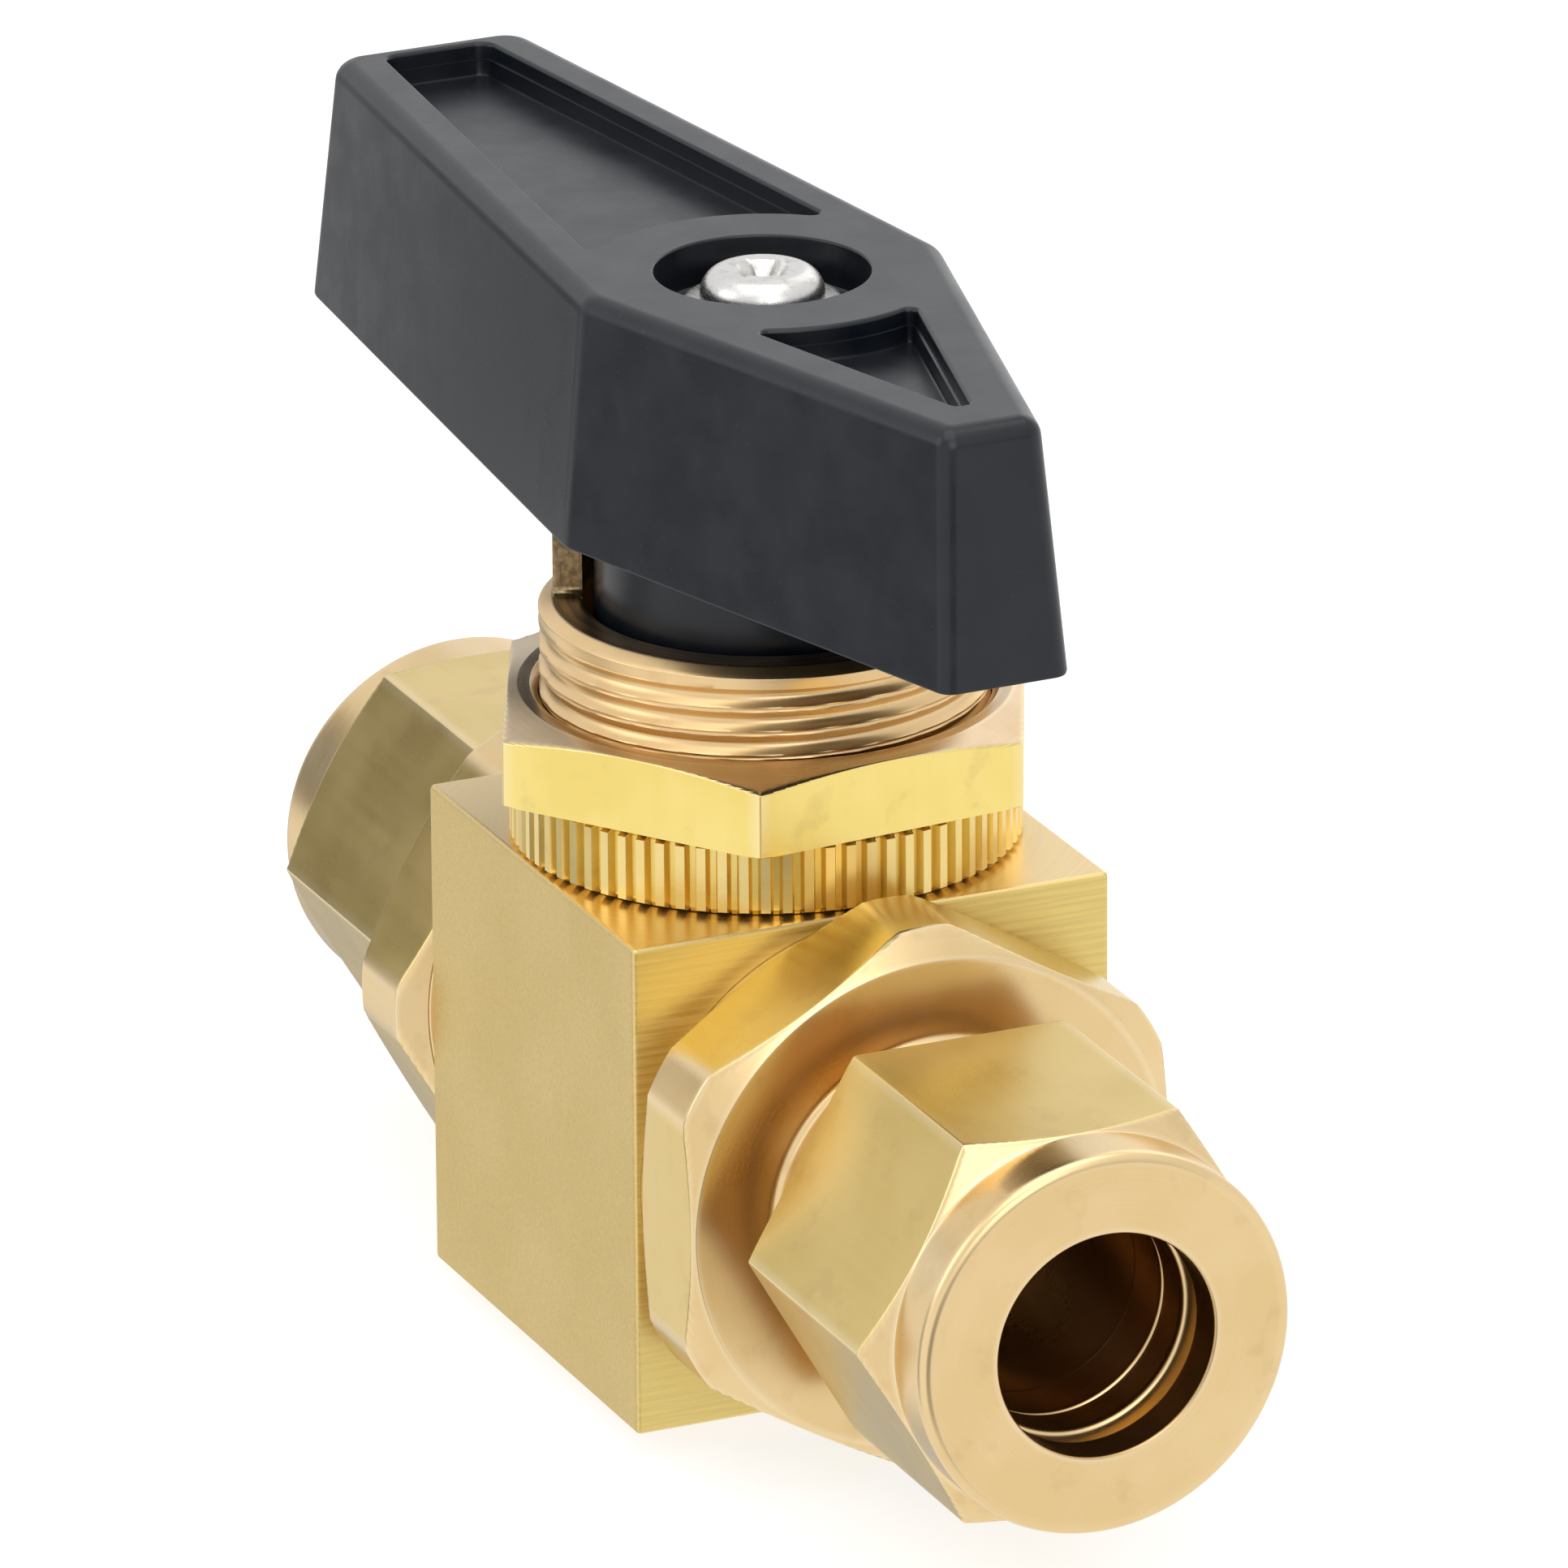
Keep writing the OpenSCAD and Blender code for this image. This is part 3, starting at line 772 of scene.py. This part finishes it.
def end_connector(name, side, turn):
    """Spigot, washer face, hexagon with turned corners, plain nose and tube socket."""
    face_x = block_half + 0.02
    flange_x = block_half + 1
    front_x = block_half + 8
    mouth = connector_outer_x
    spigot_r = 10.25
    washer_r = 14.2
    corner_r = 16.0
    cone_r = 14.35
    nose_r = 9.5
    mouth_bore_r = 7.9
    corners = [(connector_inner_x, flow_r, 0.15), (connector_inner_x, spigot_r, 0.2), (face_x, spigot_r, 0),
               (face_x, washer_r, 0.12), (flange_x, washer_r, 0.1), (flange_x, cone_r, 0.05),
               (flange_x + 0.9, corner_r, 0.15), (front_x - 1.1, corner_r, 0.2),
               (front_x, cone_r - 0.05, 0.2), (front_x, nose_r, 0.6), (mouth, nose_r, 0.3),
               (mouth, mouth_bore_r, 0.1), (socket_mouth_x, tube_bore_r, 0.2),
               (socket_floor_x, tube_bore_r, 0.1), (socket_floor_x, flow_r, 0.2)]
    profile = fine_rows(rounded(corners, 8), flange_af)
    columns = hex_columns(flange_af, turn, corner=0.4)
    return build(name, [turned(profile, columns, along_x(side))])


def tube_nut(name, side):
    """Compression nut: hexagon with a turned collar and a cone inside that closes the ferrules."""
    back = tube_nut_low.x
    face = tube_nut_high.x
    hex_end = 40.4
    collar_r = tube_nut_af / 2 - 0.05
    beyond = tube_nut_af / math.sqrt(3) + 0.3
    thread_r = 9.58
    chamber_r = 8.4
    chamber_start = 37.5
    bore_start = 42.8
    corners = [(back, thread_r + 0.5, 0.1), (back, beyond - 0.35, 0), (back + 0.2, beyond, 0),
               (hex_end, beyond, 0.1), (hex_end + 1.3, collar_r, 0.15), (face, collar_r, 0.6),
               (face, tube_bore_r, 0.18), (bore_start, tube_bore_r, 0.2), (ferrule_back_x, chamber_r, 0.2),
               (chamber_start, chamber_r, 0.1), (chamber_start, thread_r, 0.1), (back + 0.5, thread_r, 0.1)]
    profile = fine_rows(rounded(corners, 6), tube_nut_af)
    return build(name, [turned(profile, hex_columns(tube_nut_af, 30.0), along_x(side))])


def front_ferrule(name, side):
    """Cone that closes on the tube, with a thin nose."""
    nose = socket_mouth_x
    back = 38.98
    corners = [(nose, tube_bore_r, 0.1), (nose, tube_bore_r + 0.25, 0.05), (36.8, 7.4, 0),
               (37.4, ferrule_r, 0.1), (back, ferrule_r, 0.1), (back, 7.6, 0), (38.3, tube_bore_r, 0.15)]
    return build(name, [turned(rounded(corners, 4), circle_columns(128), along_x(side))])


def back_ferrule(name, side):
    """Ring behind the cone, its bright rim just inside the nut's bore."""
    step = 39.7
    back = ferrule_back_x
    corners = [(38.45, tube_bore_r, 0.12), (39.05, 7.3, 0), (step, 7.3, 0), (step, ferrule_r, 0.1),
               (back - 0.3, ferrule_r, 0.1), (back, 7.7, 0.1), (back, tube_bore_r, 0.35)]
    return build(name, [turned(rounded(corners, 5), circle_columns(128), along_x(side))])


# ---- Handle ----


def lever_walls(inset, drop):
    """(angle, distance from the stem) of the six walls, at a depth below the top."""
    spread = drop * math.tan(wall_lean) - inset
    arm_r = mid_half * math.cos(arm_slope) + spread
    nose_r = mid_half * math.cos(nose_slope) + spread
    quarter = math.pi / 2
    return [(0.0, nose_reach + drop * math.tan(nose_lean) - inset), (quarter - nose_slope, nose_r),
            (quarter + arm_slope, arm_r), (math.pi, arm_reach + spread),
            (-quarter - arm_slope, arm_r), (-quarter + nose_slope, nose_r)]


def meeting(wall_a, wall_b):
    """The point where two walls, each an (angle, distance) pair, cross."""
    (a, d), (b, e) = wall_a, wall_b
    spin = math.sin(b - a)
    return (d * math.sin(b) - e * math.sin(a)) / spin, (e * math.cos(a) - d * math.cos(b)) / spin


def lever_ring(z, inset, less_round=0.0):
    """The lever's outline at a height, with its six corners rounded."""
    walls = lever_walls(inset, handle_top - z)
    rounds = [1.1, 3.0, 2.0, 2.0, 3.0, 1.1]
    corners = [(*meeting(walls[i], walls[(i + 1) % 6]), max(rounds[i] - less_round, 0.35)) for i in range(6)]
    return [(x, y, z) for x, y, edge in rounded(corners, 7) if edge]


def lever_shell():
    """Hollow lever: rounded outside, open underside, even wall."""
    top_round = 1.1
    foot_round = 0.25
    rings = [lever_ring(handle_bottom, foot_round, foot_round),
             lever_ring(handle_bottom + foot_round * 0.3, foot_round * 0.3, 0.1),
             lever_ring(handle_bottom + foot_round, 0)]
    for k in range(9):
        a = math.pi / 2 * k / 8
        inset = top_round * (1 - math.cos(a))
        rings.append(lever_ring(handle_top - top_round * (1 - math.sin(a)), inset, inset))
    outside = len(rings)
    rings += [lever_ring(ceiling, handle_wall + 0.5, handle_wall),
              lever_ring(ceiling - 0.5, handle_wall, handle_wall),
              lever_ring(handle_bottom, handle_wall, handle_wall)]
    count = len(rings[0])
    points = [p for ring in rings for p in ring]
    top = (outside - 1) * count
    roof = outside * count
    faces = [tuple(range(top, top + count)), tuple(range(roof, roof + count))]
    for i in range(len(rings)):
        if i != outside - 1:
            faces += band(i * count, (i + 1) % len(rings) * count, count)
    return points, faces, {}


def pocket_outline(grow, facing, slope, inset, end_reach, arc_r, tip_round):
    """A top pocket: its half from the arc round the well to its end, the mirrored half, and the arc."""
    side_angle = math.pi / 2 + (slope if facing < 0 else -slope)
    side_reach = mid_half * math.cos(slope) - inset + grow
    end_angle = math.pi if facing < 0 else 0.0
    corner = 0.45 + grow
    tip = tip_round + grow
    circle = arc_r - grow
    normal = Vector((math.cos(side_angle), math.sin(side_angle)))
    along = Vector((normal.y, -normal.x)) * facing
    inward = side_reach - corner
    centre = normal * inward + along * math.sqrt((circle + corner) ** 2 - inward ** 2)
    to_axis = math.atan2(-centre.y, -centre.x)
    half = arc(centre, corner, to_axis, side_angle, 6)
    tip_centre = meeting((side_angle, side_reach - tip), (end_angle, end_reach + grow - tip))
    half += arc(tip_centre, tip, side_angle, end_angle, 6)
    first = math.atan2(half[0][1], half[0][0])
    inner = arc((0, 0), circle, -first, first, 20)
    return half + [(x, -y) for x, y in reversed(half)] + inner[1:-1]


def top_lip(lip):
    """(height, growth) steps up a rounded lip at the handle's top."""
    angles = (math.pi / 8, math.pi / 4, math.pi * 3 / 8, math.pi / 2 * 0.97)
    return [(handle_top - lip + lip * math.sin(a), lip * (1 - math.cos(a))) for a in angles]


def pocket_cut(**shape):
    """The space of a pocket: a rounded lip, a ledge half way down and a rounded floor."""
    lip = 0.25
    ledge = 0.14
    floor = handle_top - pocket_depth
    levels = [(floor, -ledge - 0.2), (floor + 0.06, -ledge - 0.06), (floor + 0.2, -ledge),
              (floor + 1.0, -ledge), (floor + 1.04, 0.0), (handle_top - lip, 0.0)]
    levels += top_lip(lip)
    levels.append((handle_top + 0.3, lip))
    rings = [[(x, y, z) for x, y in pocket_outline(grow, **shape)] for z, grow in levels]
    return build("cut", [loft(rings)])


def prism(outline, low, high):
    """A straight solid on an outline, between two heights."""
    return build("cut", [loft([[(x, y, z) for x, y in outline] for z in (low, high)])])


def sector(r_in, r_out, start, end):
    """The outline between two radii and two angles in degrees."""
    steps = 14
    angles = [math.radians(start + (end - start) * k / steps) for k in range(steps + 1)]
    outline = [(r_out * math.cos(a), r_out * math.sin(a)) for a in angles]
    return outline + [(r_in * math.cos(a), r_in * math.sin(a)) for a in reversed(angles)]


def screw_well():
    """The round space in the handle's top for the screw head and its washer."""
    lip = 0.15
    well = [(well_floor, 0), (well_floor, well_r - lip), (well_floor + lip, well_r),
            (handle_top - lip, well_r)]
    well += [(z, well_r + grow) for z, grow in top_lip(lip)]
    well += [(handle_top + 0.3, well_r + lip), (handle_top + 0.3, 0)]
    return revolved("cut", well, up_z)


def drive_outline():
    """The stem's double-D, a little larger."""
    radius = stem_r + drive_gap
    reach = math.acos((drive_half + drive_gap) / radius)
    arcs = arc((0, 0), radius, -math.pi / 2 + reach, math.pi / 2 - reach, 12)
    return arcs + [(-x, -y) for x, y in arcs]


def handle():
    """Lever with its hub, stop ear, screw well, drive hole and two top pockets."""
    lever = build("handle_piece", [lever_shell()])
    hub_top = ceiling + 0.5
    edge = 0.35
    hub = [(hub_bottom, 0), (hub_bottom, hub_r - edge), (hub_bottom + 0.1, hub_r - 0.1),
           (hub_bottom + edge, hub_r), (hub_top, hub_r), (hub_top, 0)]
    combine(lever, revolved("hub", hub, up_z), "UNION")
    ear = sector(hub_r - 1, ear_r, *ear_angles)
    combine(lever, prism(ear, neck_top + 0.3, hub_top), "UNION")
    combine(lever, screw_well(), "DIFFERENCE")
    pockets = (
        {"facing": -1, "slope": arm_slope, "inset": 2.9, "end_reach": 44.6, "arc_r": 10.0, "tip_round": 0.9},
        {"facing": 1, "slope": nose_slope, "inset": 3.4, "end_reach": 25.5, "arc_r": 10.4, "tip_round": 0.4},
    )
    for shape in pockets:
        combine(lever, pocket_cut(**shape), "DIFFERENCE")
    combine(lever, prism(drive_outline(), hub_bottom - 1, well_floor + 1), "DIFFERENCE")
    lever.data.transform(Matrix.Rotation(math.radians(rest_angle), 4, "Z"))
    return lever


def screw_slot(crown, turn):
    """One arm of the cross recess, turned about the screw's axis."""
    spin = Matrix.Rotation(math.radians(turn), 3, "Z")
    signs = ((1, 1), (-1, 1), (-1, -1), (1, -1))
    levels = ((crown - 1.3, 0.8, 0.3), (crown - 0.15, 1.75, 0.42), (crown + 0.3, 2.0, 0.6))
    rings = []
    for z, long, wide in levels:
        rings.append([tuple(spin @ Vector((sx * long, sy * wide, z))) for sx, sy in signs])
    return build("cut", [loft(rings)])


def handle_screw():
    """Pan head with a worn cross recess, and its shank down into the stem."""
    low, high = box_mm("handle_screw")
    seat = well_floor + 1.0
    crown = high.z
    head_r = 3.5
    shank_r = 1.95
    side_h = 0.35
    dome_r = 1.3
    dome_h = crown - seat - side_h
    corners = [(low.z, 0), (low.z, shank_r - 0.4), (low.z + 0.6, shank_r), (seat, shank_r),
               (seat, head_r - 0.15), (seat + 0.12, head_r)]
    for k in range(12):
        a = math.pi / 2 * k / 12
        corners.append((seat + side_h + dome_h * math.sin(a), head_r - dome_r + dome_r * math.cos(a)))
    corners += [(crown, head_r - dome_r - 0.1), (crown, 0)]
    screw = revolved("handle_screw_piece", corners, up_z)
    for turn in (20, 110):
        combine(screw, screw_slot(crown, turn), "DIFFERENCE")
    cone = [(crown - 1.4, 0), (crown - 1.4, 0.5), (crown - 0.35, 1.2), (crown + 0.3, 1.75), (crown + 0.3, 0)]
    combine(screw, revolved("cut", cone, up_z), "DIFFERENCE")
    soften = screw.modifiers.new("worn_edges", "BEVEL")
    soften.width = 0.08 * MM
    soften.segments = 2
    soften.limit_method = "ANGLE"
    soften.angle_limit = math.radians(40)
    bake_modifiers(screw)
    return screw


def screw_washer():
    """Flat washer with rolled edges."""
    inner = 2.2
    outer = 4.6
    top = well_floor + 1
    corners = [(well_floor, inner, 0.1), (well_floor, outer, 0.2), (top, outer, 0.3), (top, inner, 0.1)]
    return build("screw_washer_piece", [turned(rounded(corners, 4), circle_columns(96), up_z)])


# ---- Scene ----


def make_looks():
    """The materials, by what they cover. Brass colours are (light, deep) pairs."""
    turned_pair = ((0.78, 0.585, 0.31), (0.73, 0.53, 0.26))
    drawn_pair = ((0.73, 0.555, 0.22), (0.68, 0.505, 0.18))
    neck_pair = ((0.80, 0.58, 0.31), (0.74, 0.52, 0.26))
    ring_pair = ((0.82, 0.63, 0.21), (0.76, 0.56, 0.16))
    # The panel nut's turned faces are a darker brown: a painted reflection of the neck and the handle's
    # underside that its top faces.
    nut_turned_painted_reflection_pair = ((0.62, 0.48, 0.31), (0.52, 0.38, 0.22))
    nut_drawn_pair = ((0.88, 0.70, 0.24), (0.83, 0.64, 0.19))
    block_side_pair = ((0.72, 0.55, 0.23), (0.69, 0.52, 0.205))
    port_yellow = (0.77, 0.60, 0.22)
    top_faced = (0.86, 0.66, 0.34)
    plated_pair = ((0.66, 0.65, 0.63), (0.42, 0.39, 0.34))
    polished_pair = ((0.70, 0.69, 0.68), (0.50, 0.48, 0.46))
    return {
        "block": block_brass("body_brass_block", *block_side_pair, port_yellow, top_faced),
        # The neck's rim top and stop lugs get a painted dark reflection of the handle above them and the dark
        # surround.
        "neck": turned_brass("body_brass_neck", "Z", neck_pair, 0.33, painted_dark_over=neck_top - flow_z),
        "fitting": turned_brass("turned_brass_fittings", "X", turned_pair, 0.28, drawn_pair,
                                dark_inside=tube_bore_r + 0.1),
        "ring": turned_brass("turned_brass_ring", "Z", ring_pair, 0.3),
        # Its turned faces carry the painted reflection of the neck and handle underside.
        "panel_nut": turned_brass("bar_brass_nut", "Z", nut_turned_painted_reflection_pair, 0.25, nut_drawn_pair),
        "handle": moulded_plastic("handle_black"),
        "plated": bright_steel("plated_steel_screw", *plated_pair, 0.28),
        "stem": bright_steel("stem_steel_polished", *polished_pair, 0.24),
        "seal": seal_plastic("seal_plastic_white"),
        "inner": turned_brass("turned_brass_inner", "Z", turned_pair, 0.28),
    }


def dress_body(looks):
    """The block and neck, and the ring and nut on the neck."""
    dress(body_block(), looks["block"], "valve_body", "body", 28)
    dress(body_neck(), looks["neck"], "valve_body", "body", 40)
    dress(knurled_ring(), looks["ring"], "knurled_ring", "knurled_ring", 25)
    dress(panel_nut(), looks["panel_nut"], "panel_nut", "panel_nut", 50)


def dress_end(look, suffix, side, turn):
    """One end: connector, compression nut and two ferrules."""
    connector = end_connector("connector_" + suffix, side, turn)
    nut = tube_nut("compression_nut_" + suffix, side)
    cone = front_ferrule("front_cone_" + suffix, side)
    ring = back_ferrule("back_ring_" + suffix, side)
    dress(connector, look, "valve_body", "end_connector_" + suffix, 50)
    dress(nut, look, "tube_nut_" + suffix, "tube_nut_" + suffix, 50)
    dress(cone, look, "valve_body", "front_ferrule_" + suffix, 40)
    dress(ring, look, "valve_body", "back_ferrule_" + suffix, 40)


def dress_handle(looks):
    """The lever, its screw and its washer."""
    dress(handle(), looks["handle"], "handle_group", "handle", 35)
    dress(handle_screw(), looks["plated"], "handle_group", "handle_screw", 40)
    dress(screw_washer(), looks["plated"], "handle_group", "screw_washer", 40)


def dress_inside(looks):
    """Gives the CAD nodes that have no replacement their materials."""
    by_slot = {"stem_steel": looks["stem"], "seal_plastic": looks["seal"], "turned_brass": looks["inner"]}
    for entry in frame["record"]["subparts"]:
        node = frame["nodes"][entry["node"]]
        if node.hide_render or entry["material_slot"] not in by_slot:
            continue
        node.data.materials.clear()
        node.data.materials.append(by_slot[entry["material_slot"]])


def flat_sheet(name, corners):
    """A sheet of the studio with one face, from four corners in metres."""
    mesh = bpy.data.meshes.new(name)
    mesh.from_pydata(corners, [], [(0, 1, 2, 3)])
    sheet = bpy.data.objects.new(name, mesh)
    bpy.context.scene.collection.objects.link(sheet)
    return sheet


def make_floor():
    """Plain pale floor that the lowest corners of the part rest on."""
    half = 3.0
    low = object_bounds()[0].z - 0.00005
    corners = [(-half, -half, low), (half, -half, low), (half, half, low), (-half, half, low)]
    floor = flat_sheet("floor", corners)
    material, tree, shader, place = start_material("pale_floor")
    colour = mix_colour(tree, noise(tree, place, 0.02), (0.36, 0.36, 0.36), (0.38, 0.38, 0.38))
    tree.links.new(colour, shader.inputs["Base Color"])
    shader.inputs["Roughness"].default_value = 0.9
    shader.inputs["Specular IOR Level"].default_value = 0.1
    shader.inputs["Emission Color"].default_value = (1.0, 1.0, 1.0, 1.0)
    shader.inputs["Emission Strength"].default_value = 0.72
    floor.data.materials.append(material)
    floor.visible_glossy = False


def make_card():
    """Dark studio card beside the far end, out of the picture, that its nut reflects."""
    x = -0.15
    near_y = -0.108
    far_y = -0.045
    top = 0.075
    card = flat_sheet("dark_card", [(x, near_y, 0), (x, far_y, 0), (x, far_y, top), (x, near_y, top)])
    material, tree, shader, place = start_material("dark_card")
    colour = mix_colour(tree, noise(tree, place, 0.5), (0.14, 0.14, 0.14), (0.20, 0.20, 0.20))
    tree.links.new(colour, shader.inputs["Base Color"])
    shader.inputs["Roughness"].default_value = 0.9
    card.data.materials.append(material)
    card.visible_camera = False


def area_light(name, position, size, power):
    """A square soft box at a place in metres, turned to the part."""
    target = Vector((0.0, 0.0, 0.02))
    data = bpy.data.lights.new(name, "AREA")
    data.shape = "SQUARE"
    data.size = size
    data.energy = power
    light = bpy.data.objects.new(name, data)
    light.location = position
    light.rotation_euler = (target - Vector(position)).to_track_quat("-Z", "Y").to_euler()
    bpy.context.scene.collection.objects.link(light)


def sky_patch(tree, parts, side, centre, half, low, high):
    """Where the surround is darker: degrees round from +X or -X, between two heights on the unit sphere."""
    blur = 3
    facing = times(tree, parts[0], side)
    angle = math_node(tree, "ARCTAN2", parts[1], facing)
    offset = math_node(tree, "ABSOLUTE", math_node(tree, "SUBTRACT", angle, math.radians(centre)))
    across = ramp(tree, offset, math.radians(half - blur), math.radians(half + blur), 1.0, 0.0)
    above = ramp(tree, parts[2], low, low + 0.15)
    below = ramp(tree, parts[2], high, high + 0.12, 1.0, 0.0)
    return times(tree, across, times(tree, above, below))


def make_surround():
    """A pale surround with four darker gaps in it."""
    world = bpy.data.worlds.new("studio")
    bpy.context.scene.world = world
    world.use_nodes = True
    tree = world.node_tree
    parts = split(tree, add_node(tree, "ShaderNodeTexCoord").outputs["Generated"])
    level = mix_colour(tree, ramp(tree, parts[2], 0.0, 0.3), (1.12, 1.12, 1.12), (0.98, 0.98, 1.0))
    level = mix_colour(tree, ramp(tree, parts[2], 0.5, 0.8), level, (1.05, 1.05, 1.05))
    # End of X (1 or -1), centre and half width in degrees, lowest and highest height, then how dark.
    gaps = ((1.0, -11.0, 17.0, -0.62, -0.08, 0.8), (1.0, 22.0, 18.0, -0.1, 0.2, 0.4),
            (-1.0, 4.0, 18.0, -0.75, 0.0, 0.5), (-1.0, -57.0, 14.0, -0.6, 0.05, 0.6))
    for *place, depth in gaps:
        level = tinted(tree, level, sky_patch(tree, parts, *place), depth, (0.05, 0.05, 0.05))
    background = tree.nodes["Background"]
    tree.links.new(level, background.inputs["Color"])
    background.inputs["Strength"].default_value = 1.0


def make_lights():
    """Soft studio light: the surround, four boxes and the dark card."""
    make_surround()
    area_light("overhead", (0.1, -0.05, 0.75), 0.7, 1.8)
    area_light("front_box", (0.75, -0.1, 0.45), 0.5, 1.2)
    area_light("left_box", (-0.15, -0.75, 0.45), 0.5, 0.9)
    area_light("back_box", (-0.5, 0.6, 0.5), 0.5, 0.5)
    make_card()


def make_camera():
    """Long lens at the viewing angle, turned a little about its own axis."""
    azimuth = math.radians(66.119)
    elevation = math.radians(20.523)
    roll = math.radians(-0.373)
    position = Vector((744.7, -328.6, 336.3)) * MM
    level = math.cos(elevation)
    back = Vector((math.sin(azimuth) * level, -math.cos(azimuth) * level, math.sin(elevation)))
    right = Vector((math.cos(azimuth), math.sin(azimuth), 0))
    up = back.cross(right)
    rolled_right = right * math.cos(roll) + up * math.sin(roll)
    rolled_up = up * math.cos(roll) - right * math.sin(roll)
    pose = Matrix((rolled_right, rolled_up, back)).transposed().to_4x4()
    pose.translation = position
    data = bpy.data.cameras.new("camera")
    data.lens = 355.17
    data.sensor_width = 36.0
    data.clip_start = 0.05
    data.clip_end = 20.0
    camera = bpy.data.objects.new("camera", data)
    camera.matrix_world = pose
    bpy.context.scene.collection.objects.link(camera)
    bpy.context.scene.camera = camera


looks = make_looks()
dress_body(looks)
for suffix, side, turn in (("a", 1, 0.0), ("b", -1, 30.0)):
    dress_end(looks["fitting"], suffix, side, turn)
dress_handle(looks)
dress_inside(looks)
make_floor()
make_lights()
make_camera()
bpy.context.scene.view_settings.view_transform = "Standard"
